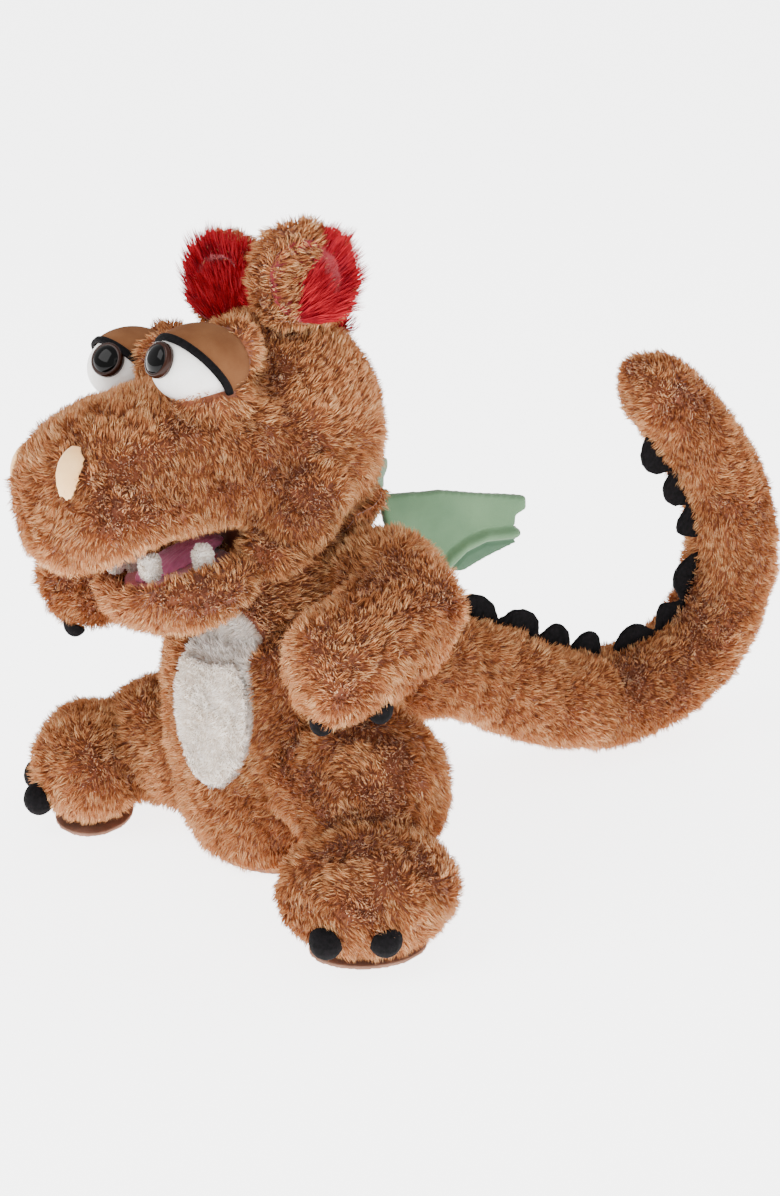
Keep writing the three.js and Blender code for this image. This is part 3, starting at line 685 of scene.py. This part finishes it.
def make_mouth():
    """Boards, velour linings, ribbed tongue and fluffy teeth."""
    for level, body in (("upper", "head"), ("lower", "jaw")):
        board = cloth_copy(f"{level}_board_cover", f"{level}_mouth_board", "red_cloth", 1.2, 1)
        give(board, body)
        lining = cloth_copy(f"{level}_velour", f"{level}_mouth_lining", "mouth", 0.8, 1)
        give(lining, body)
        for side in SIDES:
            make_tooth(f"{level}_tooth_{side}", body)
    tongue = cloth_copy("tongue_ribbed", "tongue", "tongue", 0.75, 4)
    points, normals = points_of(tongue.data), normals_of(tongue.data)
    along = np.array((SIDEWAYS + BACKWARD * 0.25).normalized())
    ribs = np.sin(points @ along * (2 * math.pi / (TONGUE_RIB * MM)))
    set_points(tongue.data, points + normals * (ribs * TONGUE_RISE * MM)[:, None])
    give(tongue, "jaw")


def make_tooth(node, body):
    tooth = cloth_copy(f"{node}_plush", node, "white_cloth", 0.9, 3)
    give(tooth, body)
    fluff = pile(f"{node}_fluff", tooth, MATERIAL["white"], 60 + len(node), length=1.6, width=0.5,
                 density=2.4, lean=0.4, gather=0.1)
    give(finish_pile(fluff), body)


def make_head(bare):
    rolls = [head_ball(s * x, y, z, radii) for s in (1, -1) for x, y, z, radii in CHEEKS + BROWS]
    head = skin("head_skin", ["crown_cover", "muzzle_cover", "head_stuffing"], rolls, voxel=3, depth=4.5)
    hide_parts("crown_cover", "muzzle_cover", "head_stuffing")
    give(head, "head")
    for side in SIDES:
        nose = cloth_copy(f"nostril_velour_{side}", f"nostril_{side}", "nose", 1.0, 4)
        give(nose, "head")
        bare.append((tree_of(nose), 0.8))
    mouth = ["upper_mouth_lining", "upper_mouth_board"] + both("upper_tooth")
    bare += [(tree, 3.0) for tree in node_trees(*mouth)]
    bare += [(tree, 1.0) for tree in node_trees(*both("lower_tooth"))]
    fur = pile("head_pile", head, MATERIAL["brown"], 1, comb=toward(BACKWARD, 0.35), near=bare,
               where=open_air(head))
    give(finish_pile(fur), "head")


def make_jaw():
    jaw = skin("jaw_skin", ["jaw_cover"], voxel=2.0, rounds=4, depth=1.0)
    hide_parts("jaw_cover")
    give(jaw, "jaw")
    mouth = ["lower_mouth_lining", "lower_mouth_board"] + both("lower_tooth")
    bare = [(tree, 2.0) for tree in node_trees(*mouth)]
    fur = pile("jaw_pile", jaw, MATERIAL["brown"], 2, length=6.5, density=0.9, near=bare,
               where=open_air(jaw, 40))
    give(finish_pile(fur), "jaw")


def make_ears():
    for i, side in enumerate(SIDES):
        body = f"ear_{side}"
        ear = skin(f"ear_skin_{side}", [f"ear_back_{side}"], voxel=2.2, rounds=3, depth=2.5)
        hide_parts(f"ear_back_{side}")
        lining = cloth_copy(f"ear_velour_{side}", f"ear_lining_{side}", "red_cloth", 1.2, 2)
        low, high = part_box(f"ear_lining_{side}")
        middle = np.array((low + high) / 2)
        reach = np.array((high - low) / 2)
        root = middle + np.array(EAR_ROOT[side]) * reach
        way = np.array(Vector(EAR_RED[side]).normalized())

        def is_red(places, normals):
            return (places - middle) @ way > EAR_EDGE[side] * MM

        def is_brown(places, normals):
            return (places - middle) @ way < (EAR_EDGE[side] + 2) * MM

        def spread(places, heading):
            return unit(places - root) * 1.5 + heading * 0.3

        fur = pile(f"ear_pile_{side}", ear, MATERIAL["brown"], 10 + i, length=6.5, density=1.1)
        fur += pile(f"ear_inside_{side}", lining, MATERIAL["brown"], 12 + i, length=6, density=1.1,
                    where=is_brown)
        red = pile(f"ear_red_{side}", lining, MATERIAL["red"], 14 + i, length=15, width=0.6, density=2.4,
                   lean=0.1, gather=0.25, curl=0.2, fan=spread, where=is_red)
        give([ear, lining] + finish_pile(fur) + finish_pile(red), body)


def make_mane():
    strip = cloth_copy("mane_cloth", "mane", "red_cloth", 1.6, 2)

    def back(places, heading):
        return heading * 0.8 + np.array(BACKWARD) * 0.5 + np.array((0, 0, 0.5))

    red = pile("mane_pile", strip, MATERIAL["red"], 18, length=13, width=0.8, fan=back)
    give([strip] + finish_pile(red), "head")


# ---- torso ----
def neck_column():
    """The throat, a curved panel of plush in front of the hand's way up into the head, open at the back."""
    corners = len(THROAT)
    turns = np.linspace(math.pi - THROAT_ROUND, 2 * math.pi + THROAT_ROUND, THROAT_STEPS)
    points = [(r * math.cos(a) * MM, (r * TORSO_DEPTH * math.sin(a) + 1) * MM, z * MM)
              for a in turns for r, z in THROAT]
    faces = []
    for k in range(THROAT_STEPS - 1):
        here, there = k * corners, (k + 1) * corners
        for i in range(corners):
            j = (i + 1) % corners
            faces.append((here + i, here + j, there + j, there + i))
    last = (THROAT_STEPS - 1) * corners
    faces += [tuple(range(corners))[::-1], tuple(range(last, last + corners))]
    throat = from_arrays("neck_column", points, faces)
    grid = bmesh.new()
    grid.from_mesh(throat.data)
    bmesh.ops.recalc_face_normals(grid, faces=grid.faces)
    grid.to_mesh(throat.data)
    grid.free()
    return throat


def make_torso(limbs):
    covers = ["torso_front_cover", "torso_back_cover", "torso_stuffing"]
    torso = skin("torso_skin", covers)
    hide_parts(*covers)
    throat = neck_column()
    dressed(throat, "backing")
    smooth_shade(throat)
    patch = cloth_copy("belly_velour", "belly_patch", "white_cloth", 1.6, 2)

    def in_belly(places, grow=0.0):
        x, z, across, up = BELLY
        off = ((places[:, 0] / MM - x) / (across + grow)) ** 2 + ((places[:, 2] / MM - z) / (up + grow)) ** 2
        return (off < 1) & (places[:, 1] < 0)

    clear = open_air(torso)

    def off_belly(places, normals):
        return ~in_belly(places, 1) & clear(places, normals)

    def outside_throat(places, normals):
        return ((normals[:, :2] * places[:, :2]).sum(1) > 0) & ~in_belly(places, 1)

    belly = pile("belly_pile", patch, MATERIAL["white"], 20, length=2.6, width=0.6, density=2.2, lean=0.6,
                 comb=toward(DROOP, 0.7), gather=0.2)
    bare = [(tree, 2.5) for tree in node_trees("hand_sleeve", "sleeve_hem", "torso_base_panel")]
    bare.append((tree_of(patch), 1.5))
    fur = pile("torso_pile", torso, MATERIAL["brown"], 3, comb=toward(DROOP, 0.45), near=bare,
               inside=[(tree_of(limb), 9) for limb in limbs], where=off_belly)
    ruff = pile("throat_pile", throat, MATERIAL["brown"], 4, comb=toward(DROOP, 0.4),
                inside=[(tree_of(torso), 9)], where=outside_throat)
    for i, part in enumerate((torso, throat)):
        belly += pile(f"belly_top_{i + 1}", part, MATERIAL["white"], 50 + i, length=4.6, width=0.8,
                      density=3.4, comb=toward(DROOP, 0.7), gather=0.2, near=[(tree_of(patch), 1.0)],
                      where=lambda places, normals: in_belly(places))
    sleeve = cloth_copy("sleeve_cloth", "hand_sleeve", "lining", 1.1, 1)
    hem = cloth_copy("sleeve_hem_roll", "sleeve_hem", "lining", 1.4, 3)
    base = cloth_copy("base_cloth", "torso_base_panel", "sole", 1.2, 1)
    give([torso, throat, patch, sleeve, hem, base], "torso")
    give(finish_pile(belly) + finish_pile(fur + ruff), "torso")
    collar = skin("collar_skin", ["neck_collar"], voxel=2.4, rounds=2, depth=1.5)
    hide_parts("neck_collar")
    fluff = pile("collar_pile", collar, MATERIAL["brown"], 5, length=7, density=0.7)
    give([collar] + finish_pile(fluff), "neck")


# ---- limbs ----
def make_limb(kind, side, swell, root_radius, seed, comb, near):
    nodes = [f"{kind}_cover_{side}", f"{kind}_stuffing_{side}"]
    root = pivot(f"{kind}_swing_{side}")
    root.x -= SIDES[side] * 4 * MM
    limb = skin(f"{kind}_skin_{side}", nodes, [ball(root, [root_radius] * 3)], voxel=3, swell=swell)
    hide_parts(*nodes)
    trees = [(tree, 1.0) for tree in node_trees(*near)]
    fur = pile(f"{kind}_pile_{side}", limb, MATERIAL["brown"], seed, comb=comb, near=trees)
    give([limb] + finish_pile(fur), f"{kind}_{side}")
    return limb


def make_claw(node, body):
    claw = cloth_copy(f"{node}_felt", node, "felt", 0.8, 3)
    give(claw, body)


def make_limbs():
    limbs = []
    for i, side in enumerate(SIDES):
        claws = [f"paw_claw_1_{side}", f"paw_claw_2_{side}"]
        arm_lay = toward((SIDES[side] * 0.3, -0.8, -0.5), 0.5)
        limbs.append(make_limb("arm", side, 2.0, 27, 22 + i, arm_lay, claws))
        toes = [f"toe_claw_1_{side}", f"toe_claw_2_{side}"]
        leg_lay = toward((SIDES[side] * 0.5, -0.5, -0.7), 0.4)
        limbs.append(make_limb("leg", side, 2.5, 40, 26 + i, leg_lay, toes + [f"sole_{side}"]))
        for node in claws:
            make_claw(node, f"arm_{side}")
        for node in toes:
            make_claw(node, f"leg_{side}")
        sole = cloth_copy(f"sole_suede_{side}", f"sole_{side}", "sole", 1.2, 1)
        give(sole, f"leg_{side}")
    return limbs


# ---- wings ----
def make_wing(side):
    """Two layers of velour; a stuffed rib with a seam on both sides runs to the tip, over a darker panel."""
    node = f"wing_{side}"
    wing = remeshed(joined_copy(f"wing_velour_{side}", [node]), 1.2, 3)
    points, normals = points_of(wing.data), normals_of(wing.data)
    low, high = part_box(node)
    root = np.array((low.x if side == "left" else high.x, low.y))
    run = np.array((SIDES[side] * (high.x - low.x), high.y - low.y))
    along = (points[:, :2] - root) @ (run / np.linalg.norm(run)) / MM
    drop = (high.z - points[:, 2]) / MM
    along_rib, drop_rib = np.array(RIB).T
    off = drop - np.interp(along, along_rib, drop_rib)
    steep = np.interp(along, along_rib, np.sqrt(1 + np.gradient(drop_rib, along_rib) ** 2))
    off /= steep
    raised = RIB_RISE * np.exp(-(off / RIB_HALF) ** 4)
    raised -= SEAM_DEPTH * np.exp(-((np.abs(off) - SEAM_OFF) / SEAM_HALF) ** 2)
    raised += np.where(off < -5, FULLNESS * np.exp(-((drop - FULL_AT) / FULL_HALF) ** 2), 0)
    raised += WING_RIPPLE * smooth_noise(points, 12, np.random.default_rng(30))[:, 0]
    set_points(wing.data, points + normals * (raised * MM)[:, None])
    dressed(wing, "wing", "wing_dark")
    middles = np.array([off[list(face.vertices)].mean() for face in wing.data.polygons])
    wing.data.polygons.foreach_set("material_index", (middles > PANEL_EDGE).astype(np.int32))
    smooth_shade(wing)
    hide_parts(node)
    give(wing, node)


# ---- tail ----
def halved(piece, place, normal, names):
    """Splits a piece at a plane; the first part lies before it."""
    parts = []
    for name, sign in zip(names, (1, -1)):
        grid = bmesh.new()
        grid.from_mesh(piece.data)
        gone = [f for f in grid.faces if (f.calc_center_median() - place).dot(normal) * sign > 0]
        bmesh.ops.delete(grid, geom=gone, context="FACES")
        parts.append(smooth_shade(new_object(name, mesh_of(grid, name))))
    bpy.data.objects.remove(piece)
    return parts


def sew_down(strip, surface):
    """Draws the foot of a felt strip just under the plush that it is sewn to."""
    points = points_of(strip.data)
    for i, point in enumerate(points):
        _, normal, _, reach = surface.find_nearest(Vector(point))
        sunk = SEWN_IN * min(1, max(0, (SEWN_FAR - reach / MM) / (SEWN_FAR - SEWN_NEAR)))
        points[i] = Vector(point) - normal * sunk * MM
    set_points(strip.data, points)


def make_tail():
    roots = [pivot(name) for name in ("tail_swing", "tail_curl_middle", "tail_curl_tip")]
    cuts = [((a + b) / 2, (b - a).normalized()) for a, b in zip(roots, roots[1:])]
    knots = [ball(root, [KNOT * k] * 3) for root, k in zip(roots, KNOTS)]
    nodes = ["tail_base", "tail_middle", "tail_tip"]
    whole = skin("tail_skin", nodes, knots, voxel=3)
    surface = tree_of(whole)
    back, rest = halved(whole, *cuts[0], ("tail_skin_base", "tail_skin_rest"))
    middle, tip = halved(rest, *cuts[1], ("tail_skin_middle", "tail_skin_tip"))
    upright = Vector((0, 0, 1))
    level = (roots[1] - roots[0]).cross(upright).cross(upright).normalized() * -1
    onward = (roots[2] - roots[0]).normalized()
    before, after = ROOT_BEND
    middle_reach = onward * MIDDLE_BEND * MM
    tip_reach = upright * TIP_BEND * MM
    bends = [("torso", "tail_base", roots[0] - level * before * MM, roots[0] + level * after * MM),
             ("tail_base", "tail_middle", roots[1] - middle_reach, roots[1] + middle_reach),
             ("tail_middle", "tail_tip", roots[2] - tip_reach, roots[2] + tip_reach)]
    low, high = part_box("tail_tip")
    curl = np.array((low + high) / 2)
    turning = np.array(level.cross(upright))

    def round_curl(places):
        return unit(np.cross(np.tile(turning, (len(places), 1)), places - curl)) * 0.6

    combs = [toward(roots[1] - roots[0], 0.5), toward(onward, 0.5), round_curl]
    bare = [(tree, 0.3) for tree in node_trees("crest_base", "crest_middle", "crest_tip")]
    for i, (piece, bend) in enumerate(zip((back, middle, tip), bends)):
        dressed(piece, "backing")
        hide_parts(nodes[i])
        fur = pile(f"tail_pile_{i + 1}", piece, MATERIAL["brown"], 32 + i, comb=combs[i], near=bare)
        for part in [piece] + finish_pile(fur):
            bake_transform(part)
    crest = remeshed(joined_copy("crest", ["crest_base", "crest_middle", "crest_tip"]), 0.9, 2)
    sew_down(crest, surface)
    low_crest, high_crest = halved(crest, *cuts[1], ("crest_low", "crest_high"))
    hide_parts("crest_base", "crest_middle")
    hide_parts("crest_tip")
    for part, bend in ((low_crest, bends[1]), (high_crest, bends[2])):
        dressed(part, "felt")
        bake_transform(part)
    return back


# ---- stage ----
def make_stage():
    floor_material = principled("studio_floor", (0.92, 0.92, 0.92), 0.9, Emission_Color=(1, 1, 1, 1),
                                Emission_Strength=FLOOR_GLOW)
    grid = bmesh.new()
    bmesh.ops.create_grid(grid, x_segments=1, y_segments=1, size=FLOOR_HALF)
    floor = new_object("studio_floor", mesh_of(grid, "studio_floor"), floor_material)
    world = bpy.data.worlds.new("studio")
    world.use_nodes = True
    world.node_tree.nodes["Background"].inputs["Color"].default_value = (1, 1, 1, 1)
    world.node_tree.nodes["Background"].inputs["Strength"].default_value = WORLD_LIGHT
    bpy.context.scene.world = world
    middle = (Vector(CAD_BOX[0]) + Vector(CAD_BOX[1])) / 2
    for name, place, size, power in LAMPS:
        light = bpy.data.lights.new(name, "AREA")
        light.size = size
        light.energy = power
        lamp = bpy.data.objects.new(name, light)
        lamp.location = place
        lamp.rotation_euler = (middle - Vector(place)).to_track_quat("-Z", "Y").to_euler()
        bpy.context.scene.collection.objects.link(lamp)


def make_camera():
    turn, rise = math.radians(CAMERA_TURN), math.radians(CAMERA_RISE)
    away = Vector((math.sin(turn) * math.cos(rise), -math.cos(turn) * math.cos(rise), math.sin(rise)))
    lens = bpy.data.cameras.new("camera")
    lens.sensor_width = SENSOR
    lens.lens = LENS
    camera = bpy.data.objects.new("camera", lens)
    camera.location = Vector(AIM) + away * DISTANCE
    camera.rotation_euler = (-away).to_track_quat("-Z", "Y").to_euler()
    bpy.context.scene.collection.objects.link(camera)
    bpy.context.scene.camera = camera


MATERIAL = make_materials()
bare_spots = make_eyes()
make_mouth()
make_head(bare_spots)
make_jaw()
make_ears()
make_mane()
limbs = make_limbs()
tail_root = make_tail()
make_torso(limbs + [tail_root])
for wing_side in SIDES:
    make_wing(wing_side)
make_stage()
make_camera()
